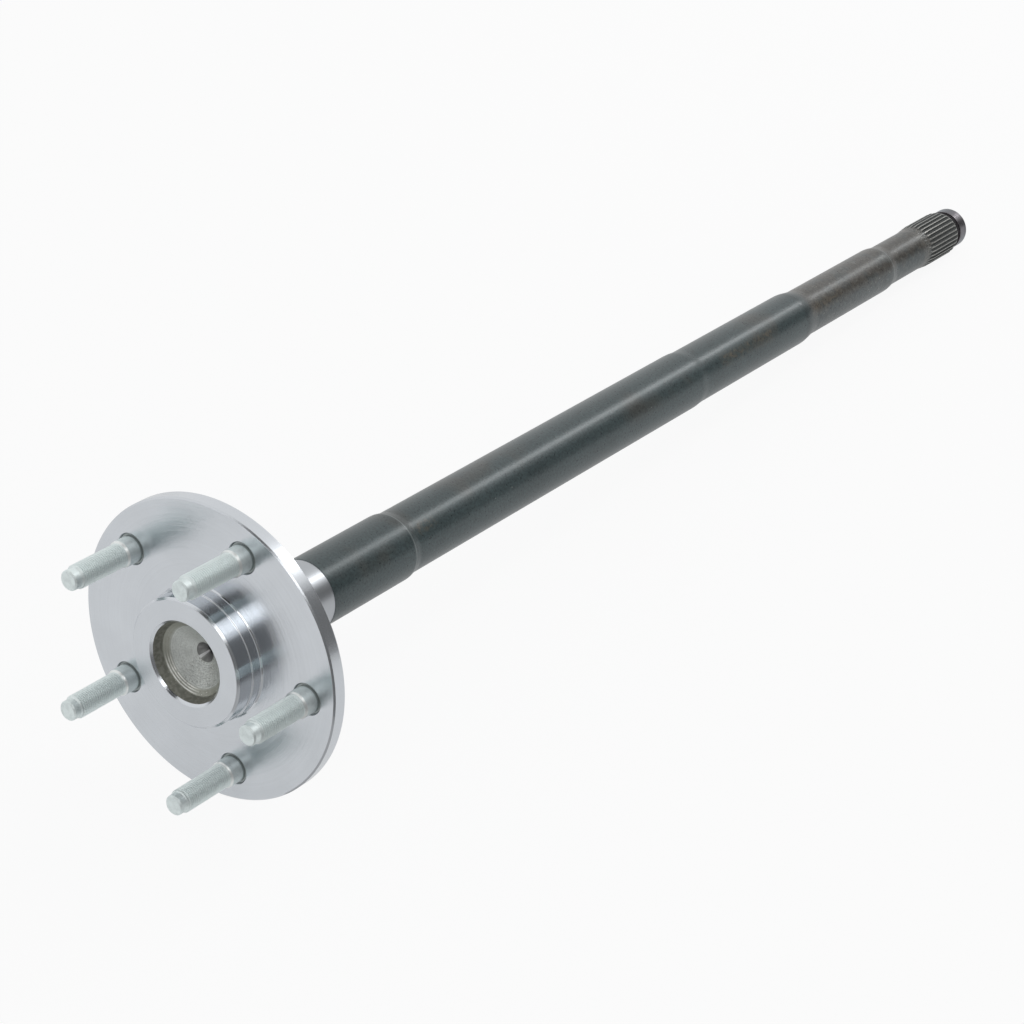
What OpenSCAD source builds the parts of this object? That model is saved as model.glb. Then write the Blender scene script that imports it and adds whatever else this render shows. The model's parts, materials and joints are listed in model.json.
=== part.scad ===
// Rear axle shaft: one turned forging with a wheel flange, a pilot, a stepped shaft and a splined end,
// carrying pressed-in wheel studs. It lies on level ground on the flange's rim and the end of the spline.
// Lengths along the shaft are counted from the wheel face of the flange.

/* [Wheel flange] */
// Diameter of the flange
flange_d = 153.2; // [146:0.2:170]
// Thickness of the flange
flange_t = 8.1; // [6:0.1:12]
// Bevel on both rim edges of the flange
flange_bevel = 0.8; // [0.3:0.1:1.5]
// Radius of the fillet between the flange's back and the seal seat
flange_fillet = 9; // [4:0.5:14]

/* [Pilot] */
// Diameter that centres the wheel
pilot_d = 65.9; // [60:0.1:66.2]
// Height of the pilot's front above the wheel face
pilot_h = 15.8; // [13:0.1:20]
// Bevel on the pilot's front edge
pilot_bevel = 1.15; // [0.5:0.05:2]
// Diameter that centres the brake drum or disc
register_d = 67.1; // [66.9:0.1:74]
// Height of the brake register above the wheel face
register_h = 6.4; // [4:0.1:8]
// Fillet at the register's foot
register_fillet = 0.9; // [0.3:0.1:1.2]

/* [Recess] */
// Diameter of the recess at its mouth
recess_d = 41.2; // [40.2:0.2:46]
// Bevel round the mouth
recess_bevel = 1.25; // [0.5:0.05:2]
// Depth of the wall, from the pilot's front to the floor's edge
recess_wall_h = 5.9; // [3:0.1:8]
// Diameter of the floor
recess_floor_d = 37.6; // [30:0.2:40]
// Depth of the dished floor below its edge
dish_h = 10; // [5:0.5:12]
// Diameter of the lathe centre's countersink
centre_d = 10.2; // [6:0.2:12]
// Full angle of the countersink
centre_angle = 60; // [50:5:90]
// Diameter of the centre drill
drill_d = 4; // [2:0.5:4.5]
// Depth of the centre drill below the countersink
drill_h = 6; // [3:0.5:10]

/* [Wheel studs] */
// Number of studs
stud_count = 5; // [4:1:6]
// Diameter of the stud circle
stud_circle_d = 120.65; // [110:0.05:124]
// Angle from the flange's right-hand side to the first stud
stud_turn = 2.45; // [0:0.05:72]
// Thread diameter
stud_d = 12; // [10:0.5:13]
// Height of a stud's end above the wheel face
stud_h = 41.8; // [34:0.2:55]
// Diameter of the smooth shoulder under the thread
shoulder_d = 13.6; // [13.2:0.1:14.8]
// Height of the shoulder above the wheel face
shoulder_h = 7.4; // [4:0.2:12]
// Diameter of the knurl pressed into the flange
knurl_d = 15.6; // [15:0.1:16.4]
// Depth of the knurl's end below the wheel face
knurl_sink = 1; // [0.5:0.1:2.5]
// Radial gap between the knurl and its hole
knurl_fit = 0.01; // [0.01:0.01:0.05]
// Bevel at the mouth of each stud hole
hole_bevel = 0.4; // [0.2:0.1:0.8]
// Diameter of the head behind the flange
head_d = 19.6; // [18:0.2:22]
// Thickness of the head
head_t = 3.4; // [2.4:0.2:5]
// Diameter of the plain point
point_d = 10.2; // [8:0.2:11]
// Length of the plain point
point_h = 4.2; // [2:0.2:7]
// Bevel on the point's end
point_bevel = 0.7; // [0.3:0.1:1.2]

/* [Shaft] */
// Diameter of the bright seal seat behind the flange
seat_d = 37.5; // [37:0.1:41]
// End of the seal seat from the wheel face
seat_end = 71.3; // [50:0.1:90]
// Width of the grinding relief between the seat and the journal
relief_w = 1.2; // [0.6:0.1:3]
// Depth of the relief below the journal
relief_h = 0.25; // [0.15:0.05:0.6]
// Diameter of the bearing journal
journal_d = 36.75; // [35.5:0.05:36.8]
// Length of the bearing journal
journal_l = 62.9; // [45:0.1:80]
// Length of the taper after the journal
journal_taper = 7.8; // [5:0.1:20]
// Diameter of the shaft's body
body_d = 34.5; // [33.5:0.1:34.8]
// Length of the shaft's body
body_l = 266; // [150:1:400]
// Length of the taper after the body
body_taper = 10.3; // [5:0.1:20]
// Diameter of the waist
waist_d = 33.2; // [31:0.1:33.4]
// Length of the waist
waist_l = 113.6; // [60:0.2:200]
// Length of the taper after the waist
waist_taper = 17; // [10:0.5:30]
// Diameter of the inner length
inner_d = 29.7; // [29.4:0.1:30.8]
// Length of the inner length
inner_l = 93.4; // [60:0.2:150]
// Length of the taper after the inner length
inner_taper = 12.4; // [5:0.1:20]
// Diameter of the neck before the spline
neck_d = 27.1; // [25:0.1:27.2]
// Length of the neck before the spline
neck_l = 38; // [20:0.5:60]

/* [Splined end] */
// Diameter over the teeth
spline_d = 29.2; // [28.6:0.1:30.4]
// Number of teeth
spline_teeth = 31; // [24:1:32]
// Length of the spline
spline_l = 44; // [30:0.5:60]
// Depth of the tooth spaces
tooth_h = 0.95; // [0.6:0.05:1.1]
// Width of a tooth space at its bottom
space_w = 0.8; // [0.5:0.05:1.2]
// Angle of a tooth's flank from the radius
flank_angle = 37.5; // [30:0.5:40]
// Length over which the teeth rise from the neck
spline_lead = 11; // [4:0.5:16]
// Length of the taper at the teeth's outer end
spline_taper = 3; // [1:0.1:5]
// Drop of the teeth over that taper
spline_drop = 0.8; // [0.4:0.05:0.9]
// Width of the retaining clip's groove
clip_w = 5.6; // [4:0.1:8]
// Diameter at the bottom of the clip's groove
clip_d = 21.6; // [18:0.2:24]
// Diameter of the end button
button_d = 26.2; // [25:0.1:28]
// Length of the end button
button_l = 9.6; // [6:0.1:16]
// Bevel at the button's end
button_bevel = 1.4; // [0.5:0.1:2.5]

/* [Hidden] */
$fn = 96;

steel = [0.62, 0.63, 0.65];
zinc = [0.74, 0.77, 0.75];
curve_steps = 8;

// Stations along the shaft
journal_start = seat_end + relief_w;
journal_end = journal_start + journal_l;
body_start = journal_end + journal_taper;
body_end = body_start + body_l;
waist_start = body_end + body_taper;
waist_end = waist_start + waist_l;
inner_start = waist_end + waist_taper;
inner_end = inner_start + inner_l;
neck_start = inner_end + inner_taper;
spline_start = neck_start + neck_l;
spline_end = spline_start + spline_l;
button_start = spline_end + clip_w;
shaft_end = button_start + button_l;

// Drop from the seal seat to the bottom of the relief
seat_step = (seat_d - journal_d) / 2 + relief_h;

// Depth of the countersink at the centre of the recess, and the station of its rim
centre_cone_h = (centre_d - drill_d) / 2 / tan(centre_angle / 2);
floor_edge = recess_wall_h - pilot_h;
centre_start = dish_at(centre_d / 2);

// Pitch of the lying shaft: the rim's back edge and the lowest point of the splined end touch the ground
rim_foot = [flange_t - flange_bevel, flange_d / 2];
spline_foot = [spline_end - spline_taper, spline_d / 2];
button_foot = [shaft_end - button_bevel, button_d / 2];
lie_pitch = min(pitch_to(spline_foot), pitch_to(button_foot));
face_z = rim_foot[0] * sin(lie_pitch) + rim_foot[1] * cos(lie_pitch);

// Reach of the lying part along the ground, measured from the wheel face's centre
stud_angles = [for (i = [0:stud_count - 1]) stud_turn + i * 360 / stud_count];
lowest_stud = max([for (a = stud_angles) sin(a)]) * stud_circle_d / 2;
reach_wheel = stud_h * cos(lie_pitch) + (lowest_stud + point_d / 2 - point_bevel) * sin(lie_pitch);
reach_spline = shaft_end * cos(lie_pitch) + (button_d / 2 - button_bevel) * sin(lie_pitch);
face_y = (reach_wheel - reach_spline) / 2;

// Angle of the ground line from the rim's foot to another foot, [station, radius]
function pitch_to(foot) = atan((rim_foot[1] - foot[1]) / (foot[0] - rim_foot[0]));

// Station of the dished floor at radius r
function dish_at(r) = floor_edge + dish_h * (1 - pow(2 * r / recess_floor_d, 1.5));

// Points of a smooth change from radius r0 at station z0 to radius r1 after length l
function blend(r0, r1, z0, l) = [
    for (i = [0:curve_steps]) let (part = i / curve_steps)
        [r0 + (r1 - r0) * (1 - cos(180 * part)) / 2, z0 + l * part]
];

// Points of an inside corner's fillet of radius f from a face at station z to a wall at radius r
function fillet(r, z, f) = [
    for (i = [0:curve_steps]) let (part = i / curve_steps)
        [r + f - f * sin(90 * part), z + f - f * cos(90 * part)]
];

// Puts a shape built along +Z, wheel face at zero, down on the ground with the spline end towards +Y
module lay_down() {
    translate([0, face_y, face_z]) rotate([-90 - lie_pitch, 0, 0]) children();
}

module at_studs() {
    for (a = stud_angles) rotate(a) translate([stud_circle_d / 2, 0, 0]) children();
}

// Half outline of the forging, [radius, station], from the centre drill round to the end button
function axle_outline() = concat(
    [[0, centre_start + centre_cone_h + drill_h], [drill_d / 2, centre_start + centre_cone_h + drill_h]],
    [[drill_d / 2, centre_start + centre_cone_h]],
    [for (i = [0:curve_steps]) let (r = (centre_d + (recess_floor_d - centre_d) * i / curve_steps) / 2)
        [r, dish_at(r)]],
    [[recess_d / 2, recess_bevel - pilot_h], [recess_d / 2 + recess_bevel, -pilot_h]],
    [[pilot_d / 2 - pilot_bevel, -pilot_h], [pilot_d / 2, pilot_bevel - pilot_h]],
    [[pilot_d / 2, -register_h], [register_d / 2, -register_h + (register_d - pilot_d) / 2]],
    [[register_d / 2, -register_fillet], [register_d / 2 + register_fillet, 0]],
    [[flange_d / 2 - flange_bevel, 0], [flange_d / 2, flange_bevel]],
    [[flange_d / 2, flange_t - flange_bevel], [flange_d / 2 - flange_bevel, flange_t]],
    fillet(seat_d / 2, flange_t, flange_fillet),
    [[seat_d / 2, seat_end - seat_step], [seat_d / 2 - seat_step, seat_end]],
    [[seat_d / 2 - seat_step, journal_start], [journal_d / 2, journal_start]],
    blend(journal_d / 2, body_d / 2, journal_end, journal_taper),
    blend(body_d / 2, waist_d / 2, body_end, body_taper),
    blend(waist_d / 2, inner_d / 2, waist_end, waist_taper),
    blend(inner_d / 2, neck_d / 2, inner_end, inner_taper),
    [[neck_d / 2, spline_start], [spline_d / 2, spline_start + spline_lead]],
    [[spline_d / 2, spline_end - spline_taper], [spline_d / 2 - spline_drop, spline_end]],
    [[clip_d / 2, spline_end], [clip_d / 2, button_start]],
    [[button_d / 2, button_start], [button_d / 2, shaft_end - button_bevel]],
    [[button_d / 2 - button_bevel, shaft_end], [0, shaft_end]]
);

module stud_hole() {
    hole_d = knurl_d + 2 * knurl_fit;
    translate([0, 0, -1]) cylinder(d = hole_d, h = flange_t + 2);
    translate([0, 0, -hole_bevel])
        cylinder(d1 = hole_d + 4 * hole_bevel, d2 = hole_d, h = 2 * hole_bevel);
}

// One tooth space, centred on +X and cut right through the spline's length
module tooth_space() {
    root_r = spline_d / 2 - tooth_h;
    mouth_r = spline_d / 2 + tooth_h;
    mouth_w = space_w + 2 * (mouth_r - root_r) * tan(flank_angle);
    translate([0, 0, spline_start]) linear_extrude(spline_l + clip_w / 2)
        polygon([
            [root_r, -space_w / 2],
            [mouth_r, -mouth_w / 2],
            [mouth_r, mouth_w / 2],
            [root_r, space_w / 2]
        ]);
}

module axle_shaft() {
    color(steel) lay_down() difference() {
        rotate_extrude() polygon(axle_outline());
        at_studs() stud_hole();
        for (i = [0:spline_teeth - 1]) rotate(90 + (i + 0.5) * 360 / spline_teeth) tooth_space();
    }
}

// One stud, [radius, station]: point towards the wheel, head against the flange's back
module stud() {
    thread_start = -shoulder_h - (shoulder_d - stud_d) / 2;
    point_start = point_h - stud_h;
    rotate_extrude() polygon([
        [0, -stud_h],
        [point_d / 2 - point_bevel, -stud_h],
        [point_d / 2, point_bevel - stud_h],
        [point_d / 2, point_start],
        [stud_d / 2, point_start + (stud_d - point_d) / 2],
        [stud_d / 2, thread_start],
        [shoulder_d / 2, -shoulder_h],
        [shoulder_d / 2, knurl_sink],
        [knurl_d / 2, knurl_sink],
        [knurl_d / 2, flange_t],
        [head_d / 2, flange_t],
        [head_d / 2, flange_t + head_t],
        [0, flange_t + head_t]
    ]);
}

module wheel_studs() {
    color(zinc) lay_down() at_studs() stud();
}

axle_shaft();
wheel_studs();
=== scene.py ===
"""Rear axle shaft: turned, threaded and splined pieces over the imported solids, with a studio to see them in.

Lengths along the shaft are counted from the wheel face of the flange, towards the splined end.
"""

import json
import math
from collections import namedtuple
from itertools import accumulate

import bpy
from bpy.props import FloatProperty, FloatVectorProperty, IntProperty, PointerProperty
from bpy.types import Operator, Panel, PropertyGroup
from mathutils import Matrix, Vector


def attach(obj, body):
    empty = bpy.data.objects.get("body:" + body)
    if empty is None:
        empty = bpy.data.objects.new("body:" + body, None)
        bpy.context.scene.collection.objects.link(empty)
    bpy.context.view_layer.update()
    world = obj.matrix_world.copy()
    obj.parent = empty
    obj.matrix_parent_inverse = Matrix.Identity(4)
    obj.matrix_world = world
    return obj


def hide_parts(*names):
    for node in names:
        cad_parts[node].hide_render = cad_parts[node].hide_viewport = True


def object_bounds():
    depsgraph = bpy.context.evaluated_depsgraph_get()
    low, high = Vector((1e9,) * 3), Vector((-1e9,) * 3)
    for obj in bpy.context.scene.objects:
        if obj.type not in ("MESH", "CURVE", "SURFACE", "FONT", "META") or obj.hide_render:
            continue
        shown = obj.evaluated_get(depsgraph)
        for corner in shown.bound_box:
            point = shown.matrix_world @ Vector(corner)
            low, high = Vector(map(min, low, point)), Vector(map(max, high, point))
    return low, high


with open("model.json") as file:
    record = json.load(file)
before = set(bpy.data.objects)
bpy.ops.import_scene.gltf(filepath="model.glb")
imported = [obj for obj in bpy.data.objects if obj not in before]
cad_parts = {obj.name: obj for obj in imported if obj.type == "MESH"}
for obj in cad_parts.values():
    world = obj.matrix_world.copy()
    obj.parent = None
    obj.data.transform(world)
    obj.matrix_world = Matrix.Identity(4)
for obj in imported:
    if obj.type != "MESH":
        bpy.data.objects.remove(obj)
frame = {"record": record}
cad_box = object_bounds()
mounts = {mount["name"]: mount for mount in frame["record"]["mounts"]}

bl_info = {
    "name": "Axle Shaft",
    "version": (1, 0, 0),
    "blender": (4, 5, 0),
    "location": "View3D > Sidebar > Axle",
    "description": "Builds a turned axle shaft with its wheel studs and a studio round it",
    "category": "Object",
}

MM = 0.001


# The axle's own frame: +Z along the shaft from the wheel face, and the part's own +X

def axle_frame():
    """The matrix from the axle's own frame to the part's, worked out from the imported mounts."""
    along = -Vector(mounts["wheel_face"]["axis"]).normalized()
    journal = Vector(mounts["bearing_journal"]["pos_m"])
    to_face = (Vector(mounts["wheel_face"]["pos_m"]) - journal).dot(along)
    side = Vector((1, 0, 0))
    lying = Matrix((side, along.cross(side), along)).transposed()
    return Matrix.Translation(journal + along * to_face) @ lying.to_4x4()


AXLE_FRAME = axle_frame()


def mount_size(mount, name):
    """A size of a packed mount as the frame gives it, with lengths in millimetres."""
    return mounts[mount]["dims"][name]


def mount_diameter(mount, radius_name="r_mm"):
    """The diameter of a packed mount, in millimetres."""
    return 2 * mount_size(mount, radius_name)


# Properties

def length(name, millimetres, description):
    """A length property, with its default written in millimetres."""
    return FloatProperty(
        name=name,
        description=description,
        default=millimetres * MM,
        min=0.0,
        precision=5,
        subtype="DISTANCE",
        unit="LENGTH",
    )


def turn(name, degrees, description):
    """An angle property, with its default written in degrees."""
    return FloatProperty(
        name=name, description=description, default=math.radians(degrees), subtype="ANGLE", unit="ROTATION"
    )


def colour(name, value, description):
    """A colour property in linear light."""
    return FloatVectorProperty(
        name=name, description=description, default=value, min=0.0, max=1.0, size=3, subtype="COLOR"
    )


def share(name, value, description):
    """A number from zero to one."""
    return FloatProperty(
        name=name, description=description, default=value, min=0.0, max=1.0, subtype="FACTOR"
    )


def metres(name, value, description):
    """A length of the studio, with its default written in metres."""
    return FloatProperty(name=name, description=description, default=value, unit="LENGTH")


def radiance(name, value, description):
    """The brightness of a softbox, where one is plain white."""
    return FloatProperty(name=name, description=description, default=value, min=0.0)


class AXLE_PG_flange(PropertyGroup):
    """Sizes of the wheel flange, the pilot and the recess."""

    flange_d: length("Flange diameter", 2 * cad_box[1].x / MM, "Diameter of the wheel flange")
    flange_t: length("Flange thickness", 8.1, "Thickness of the wheel flange")
    flange_bevel: length("Rim bevel", 0.8, "Bevel on both edges of the rim")
    flange_fillet: length("Back fillet", 9, "Fillet between the flange's back and the seal seat")
    pilot_d: length("Pilot diameter", mount_diameter("wheel_pilot"), "Diameter to centre the wheel")
    pilot_h: length("Pilot height", 15.8, "Height of the pilot's front above the wheel face")
    pilot_bevel: length("Pilot bevel", 1.15, "Bevel on the pilot's front edge")
    register_d: length("Register diameter", mount_diameter("brake_register"), "Diameter to centre the brake")
    register_h: length("Register height", 6.4, "Height of the brake register above the wheel face")
    register_fillet: length("Register fillet", 0.9, "Fillet at the register's foot")
    recess_d: length("Recess diameter", 41.2, "Diameter of the recess at its mouth")
    recess_bevel: length("Recess bevel", 1.25, "Bevel round the mouth of the recess")
    recess_wall_h: length("Recess wall", 5.9, "Depth of the recess wall")
    recess_floor_d: length("Recess floor", 37.6, "Diameter of the recess floor")
    floor_round: length("Floor rounding", 0.4, "Hollow rounding between the floor and the wall")
    dish_h: length("Dish depth", 10, "Depth of the dished floor below its edge")
    dish_power: FloatProperty(
        name="Dish shape", description="Power of the dished floor's curve", default=1.5, min=1.0, max=4.0
    )
    centre_d: length("Centre diameter", 10.2, "Diameter of the lathe centre's countersink")
    centre_angle: turn("Centre angle", 60, "Full angle of the countersink")
    drill_d: length("Drill diameter", 4, "Diameter of the centre drill")
    drill_h: length("Drill depth", 6, "Depth of the centre drill below the countersink")
    edge_round: length("Edge rounding", 0.12, "Rounding left on turned edges")


class AXLE_PG_shaft(PropertyGroup):
    """Sizes of the seal seat and the stepped shaft."""

    seat_d: length("Seat diameter", 37.5, "Diameter of the bright seal seat")
    seat_end: length("Seat end", 71.3, "End of the seal seat from the wheel face")
    relief_w: length("Relief width", 1.2, "Width of the grinding relief after the seat")
    relief_h: length("Relief depth", 0.25, "Depth of the relief below the journal")
    journal_d: length("Journal diameter", mount_diameter("bearing_journal"), "Diameter of the journal")
    journal_l: length("Journal length", mount_size("bearing_journal", "length_mm"), "Length of the journal")
    journal_taper: length("Journal taper", 7.8, "Length of the taper after the journal")
    body_d: length("Body diameter", 34.5, "Diameter of the shaft's body")
    body_l: length("Body length", 266, "Length of the shaft's body")
    body_taper: length("Body taper", 10.3, "Length of the taper after the body")
    waist_d: length("Waist diameter", 33.2, "Diameter of the waist")
    waist_l: length("Waist length", 113.6, "Length of the waist")
    waist_taper: length("Waist taper", 17, "Length of the taper after the waist")
    inner_d: length("Inner diameter", 29.7, "Diameter of the inner length")
    inner_l: length("Inner length", 93.4, "Length of the inner length")
    inner_taper: length("Inner taper", 12.4, "Length of the taper after the inner length")
    neck_d: length("Neck diameter", 27.1, "Diameter of the neck before the spline")
    neck_l: length("Neck length", 38, "Length of the neck before the spline")
    spline_d: length("Spline diameter", 29.2, "Diameter over the teeth")
    spline_teeth: IntProperty(name="Teeth", description="Number of spline teeth", default=31, min=24, max=32)
    spline_l: length("Spline length", 44, "Length of the spline")
    tooth_h: length("Tooth depth", 0.95, "Depth of the tooth spaces")
    space_w: length("Space width", 0.8, "Width of a tooth space at its bottom")
    flank_angle: turn("Flank angle", 37.5, "Angle of a tooth's flank from the radius")
    spline_lead: length("Spline lead", 11, "Length over which the teeth rise from the neck")
    spline_taper: length("Spline taper", 3, "Length of the taper at the teeth's outer end")
    spline_drop: length("Spline drop", 0.8, "Drop of the teeth over that taper")
    clip_w: length("Groove width", 5.6, "Width of the retaining clip's groove")
    clip_d: length("Groove diameter", 21.6, "Diameter at the bottom of the clip's groove")
    button_d: length("Button diameter", 26.2, "Diameter of the end button")
    button_l: length("Button length", 9.6, "Length of the end button")
    button_bevel: length("Button bevel", 1.4, "Bevel at the button's end")

    def stations(self):
        """Where each length of the shaft starts and ends, in metres from the wheel face."""
        lengths = {
            "journal_start": self.seat_end + self.relief_w,
            "journal_end": self.journal_l,
            "body_start": self.journal_taper,
            "body_end": self.body_l,
            "waist_start": self.body_taper,
            "waist_end": self.waist_l,
            "inner_start": self.waist_taper,
            "inner_end": self.inner_l,
            "neck_start": self.inner_taper,
            "spline_start": self.neck_l,
            "spline_end": self.spline_l,
            "button_start": self.clip_w,
            "shaft_end": self.button_l,
        }
        return namedtuple("Stations", lengths)(*accumulate(lengths.values()))


class AXLE_PG_studs(PropertyGroup):
    """Sizes of the wheel studs."""

    count: IntProperty(
        name="Studs", description="Number of studs", default=mount_size("stud_circle", "count"), min=4, max=6
    )
    circle_d: length("Stud circle", mount_size("stud_circle", "pcd_mm"), "Diameter of the stud circle")
    first_turn: turn("First stud", 2.45, "Angle from the flange's side to the first stud")
    thread_d: length("Thread diameter", mount_diameter("stud_circle", "stud_r_mm"), "Diameter over crests")
    thread_pitch: length("Thread pitch", 1.25, "Distance from one thread to the next")
    thread_depth: length("Thread depth", 0.75, "Depth of the thread below its crest")
    thread_runout: length("Thread run-out", 1.6, "Length over which the thread fades at each end")
    stud_h: length("Stud height", 41.8, "Height of a stud's end above the wheel face")
    shoulder_d: length("Shoulder diameter", 13.6, "Diameter of the smooth shoulder under the thread")
    shoulder_h: length("Shoulder height", 7.4, "Height of the shoulder above the wheel face")
    knurl_d: length("Knurl diameter", 15.6, "Diameter of the knurl pressed into the flange")
    knurl_sink: length("Knurl depth", 1, "Depth of the knurl's end below the wheel face")
    knurl_fit: length("Knurl gap", 0.01, "Radial gap between the knurl and its hole")
    hole_bevel: length("Hole bevel", 0.4, "Bevel at the mouth of each stud hole")
    head_d: length("Head diameter", 19.6, "Diameter of the head behind the flange")
    head_t: length("Head thickness", 3.4, "Thickness of the head")
    point_d: length("Point diameter", 10.2, "Diameter of the plain point")
    point_h: length("Point length", 4.2, "Length of the plain point")
    point_bevel: length("Point bevel", 0.7, "Bevel on the point's end")
    edge_round: length("Edge rounding", 0.15, "Rounding left on the stud's edges")


class AXLE_PG_finish(PropertyGroup):
    """Colours of the finishes, in linear light."""

    bright: colour("Turned steel", (0.71, 0.74, 0.775), "Bright turned flange, pilot and seal seat")
    recess: colour("Recess steel", (0.665, 0.69, 0.665), "Rough floor of the recess")
    recess_stain: colour("Recess stain", (0.27, 0.27, 0.215), "Yellow-green stain round the floor's edge")
    recess_dark: colour("Recess scale", (0.185, 0.183, 0.158), "Scale on the wall of the recess")
    oxide: colour("Shaft oxide", (0.064, 0.093, 0.0960), "Dark finish on the shaft")
    oxide_worn: colour("Worn oxide", (0.105, 0.092, 0.075), "Browner finish towards the spline")
    oxide_grey: colour("Grey oxide", (0.073, 0.094, 0.096), "Grey-green patches in the browner finish")
    wear: colour("Wear", (0.165, 0.162, 0.145), "Rubbed patches and tool marks on the shaft")
    rust: colour("Rust", (0.17, 0.138, 0.098), "Brown dabs on the shaft")
    crest: colour("Spline crest", (0.44, 0.43, 0.4), "Bare steel on the spline's crests")
    # The valley colour is dark oil painted near-black, so it also stands in for the shade between the teeth
    valley: colour("Spline valley", (0.022, 0.023, 0.021), "Oiled steel between the teeth")
    button: colour("End button", (0.205, 0.19, 0.202), "Purple-grey steel of the end button")
    zinc: colour("Zinc", (0.87, 0.94, 0.935), "Pale zinc plating of the studs")
    # The duller zinc also paints shade into the thread's roots and round each stud's foot
    zinc_dull: colour("Dull zinc", (0.63, 0.69, 0.685), "Duller zinc in the thread and on the shoulder")


class AXLE_PG_stage(PropertyGroup):
    """The camera, the floor and the light."""

    lens: FloatProperty(name="Lens", description="Focal length of the camera", default=92.77, unit="CAMERA")
    azimuth: turn("Azimuth", 35.776, "Camera's turn round the object, from looking along +Y")
    elevation: turn("Elevation", 30.918, "Camera's height above the horizon")
    face_right: metres("Face right", -0.142345, "Wheel face's place to the right of the view's middle")
    face_down: metres("Face down", 0.064960, "Wheel face's place below the view's middle")
    face_depth: metres("Face depth", 1.231777, "Wheel face's distance along the view")
    floor_half: metres("Floor half", 30.0, "Half the width of the square floor")
    floor_white: share("Floor white", 0.92, "Share of plain white in the floor as the camera sees it")
    floor_mirrored: share("Floor in metal", 0.55, "Share of plain white in the floor as metal mirrors it")
    room_mirrored: share("Room in metal", 0.75, "Share of plain white in the room as metal mirrors it")
    floor_albedo: share("Floor colour", 0.86, "Lightness of the floor under the lamps")
    ambient: share("Ambient", 0.55, "Strength of the plain light from all round")
    back_radiance: radiance("Back softbox", 4.5, "Brightness of the long softbox behind")
    far_radiance: radiance("Far softbox", 6.4, "Brightness of the softbox at the splined end")
    rim_radiance: radiance("Rim softbox", 0.95, "Brightness of the small softbox over the flange")
    front_radiance: radiance("Front softbox", 1.6, "Brightness of the softbox in front")
    side_dark: share("Dark side", 0.18, "Tone of the dark side of the room in reflections")
    shade: share("Floor shade", 0.45, "Tone of the floor's shade in front of the flange in reflections")
    front_dark: share("Dark front", 0.06, "Tone of the dark card up in front in reflections")


# Nodes written as expressions

class Term:
    """A node's output in an expression: arithmetic on it adds the Math nodes."""

    def __init__(self, tree, socket):
        self.tree = tree
        self.socket = socket

    def out(self, name):
        """Another output of the same node."""
        return Term(self.tree, self.socket.node.outputs[name])

    def math(self, operation, *values):
        """A Math node on this value and up to two more."""
        sockets = dict(enumerate((self, *values)))
        return add_node(self.tree, "ShaderNodeMath", {"operation": operation}, sockets)

    def __add__(self, other):
        return self.math("ADD", other)

    def __sub__(self, other):
        return self.math("SUBTRACT", other)

    def __mul__(self, other):
        return self.math("MULTIPLY", other)

    def __truediv__(self, other):
        return self.math("DIVIDE", other)

    def __rsub__(self, other):
        return add_node(self.tree, "ShaderNodeMath", {"operation": "SUBTRACT"}, {0: other, 1: self})

    __radd__ = __add__
    __rmul__ = __mul__

    def clamped(self):
        """This value held between zero and one."""
        return add_node(self.tree, "ShaderNodeClamp", {}, {"Value": self})

    def step(self, low, high):
        """A smooth rise from zero at low to one at high."""
        return add_node(
            self.tree,
            "ShaderNodeMapRange",
            {"interpolation_type": "SMOOTHSTEP"},
            {"Value": self, "From Min": low, "From Max": high},
        )

    def band(self, middle, half, soft):
        """One within half of the middle, fading to zero over soft on both sides."""
        return 1 - (self - middle).math("ABSOLUTE").step(half, half + soft)


def add_node(tree, kind, settings=None, sockets=None, output=0):
    """Adds a node, sets it up, fills its sockets and returns one output, or the node where it has none."""
    node = tree.nodes.new(kind)
    for name, value in (settings or {}).items():
        setattr(node, name, value)
    fill_sockets(node, sockets or {})
    return Term(tree, node.outputs[output]) if node.outputs else node


def fill_sockets(node, sockets):
    """Fills a node's sockets with values or links."""
    for key, value in sockets.items():
        if isinstance(value, Term):
            value.tree.links.new(value.socket, node.inputs[key])
        else:
            node.inputs[key].default_value = value


def mix(mask, first, second, blend="MIX"):
    """Two colours mixed by a mask; each is a colour or a term."""
    def full(value):
        return value if isinstance(value, Term) else (*value, 1.0)

    return add_node(
        mask.tree,
        "ShaderNodeMix",
        {"data_type": "RGBA", "blend_type": blend},
        {0: mask, 6: full(first), 7: full(second)},
        output=2,
    )


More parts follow.
